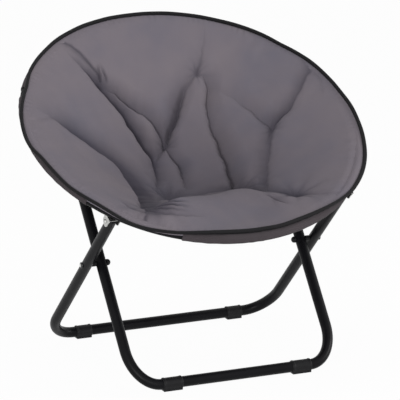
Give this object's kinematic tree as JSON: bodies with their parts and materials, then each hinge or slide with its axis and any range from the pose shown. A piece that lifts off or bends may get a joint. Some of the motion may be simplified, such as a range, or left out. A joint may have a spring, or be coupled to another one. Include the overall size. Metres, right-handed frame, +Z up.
{
  "type": "folding saucer chair",
  "caption": "Folding saucer chair: a padded round bowl seat on a hinged steel hoop, carried by crossed U-shaped tube legs that fold together.",
  "frame": {"origin": "on the floor, under the middle of the chair's plan", "axes": "+X to the right of someone facing the chair's front, +Y to its back, +Z up"},
  "size_m": [0.8102, 0.7236, 0.7513],
  "materials": {
    "black_steel": "black powder coat, satin",
    "zinc_plate": "zinc plate",
    "black_plastic": "moulded black plastic",
    "grey_fabric": "brushed mauve-grey polyester over padding",
    "black_tape": "black woven binding tape"
  },
  "bodies": {
    "front_legs": {"front_leg_frame": "black_steel", "front_foot_left": "black_plastic", "front_foot_right": "black_plastic", "front_leg_plug_left": "black_plastic", "front_leg_plug_right": "black_plastic", "scissor_nut_left": "black_plastic", "scissor_nut_right": "black_plastic"},
    "rear_hoop": {"rear_hoop": "black_steel", "rear_binding": "black_tape", "back_cushion": "grey_fabric", "sleeve_back": "grey_fabric", "sleeve_rear_left": "grey_fabric", "sleeve_rear_right": "grey_fabric", "rear_bracket_left": "zinc_plate", "rear_bracket_right": "zinc_plate", "rear_bracket_bolt_left": "zinc_plate", "rear_bracket_bolt_right": "zinc_plate", "rear_hinge_leaf_left": "zinc_plate", "rear_hinge_leaf_right": "zinc_plate"},
    "front_hoop": {"front_hoop": "black_steel", "front_binding": "black_tape", "seat_cushion": "grey_fabric", "sleeve_front": "grey_fabric", "sleeve_left": "grey_fabric", "sleeve_right": "grey_fabric", "front_bracket_left": "zinc_plate", "front_bracket_right": "zinc_plate", "front_bracket_bolt_left": "zinc_plate", "front_bracket_bolt_right": "zinc_plate", "front_hinge_leaf_left": "zinc_plate", "front_hinge_leaf_right": "zinc_plate", "hinge_rivet_left": "zinc_plate", "hinge_rivet_right": "zinc_plate"},
    "rear_legs": {"rear_leg_frame": "black_steel", "rear_foot_left": "black_plastic", "rear_foot_right": "black_plastic", "rear_leg_plug_left": "black_plastic", "rear_leg_plug_right": "black_plastic", "scissor_bolt_left": "zinc_plate", "scissor_bolt_right": "zinc_plate", "scissor_spacer_left": "black_plastic", "scissor_spacer_right": "black_plastic"}
  },
  "joints": [
    {"name": "seat_fold", "type": "hinge", "parent": "rear_hoop", "child": "front_hoop", "pos_m": [0, 0.15776, 0.61118], "axis": [1, 0, 0], "range_deg": [0, 143.24], "deforming": ["seat_cushion", "back_cushion"]},
    {"name": "front_leg_pin", "type": "hinge", "parent": "front_legs", "child": "rear_hoop", "pos_m": [0, 0.28395, 0.66403], "axis": [-1, 0, 0], "range_deg": [0, 116.48]},
    {"name": "rear_leg_pin", "type": "hinge", "parent": "front_hoop", "child": "rear_legs", "pos_m": [0, -0.21119, 0.40297], "axis": [-1, 0, 0], "range_deg": [0, 104.79]}
  ],
  "couplings": [
    {"joint": "front_leg_pin", "follows": "seat_fold", "ratio": 0.81311},
    {"joint": "rear_leg_pin", "follows": "seat_fold", "ratio": 0.73149}
  ]
}
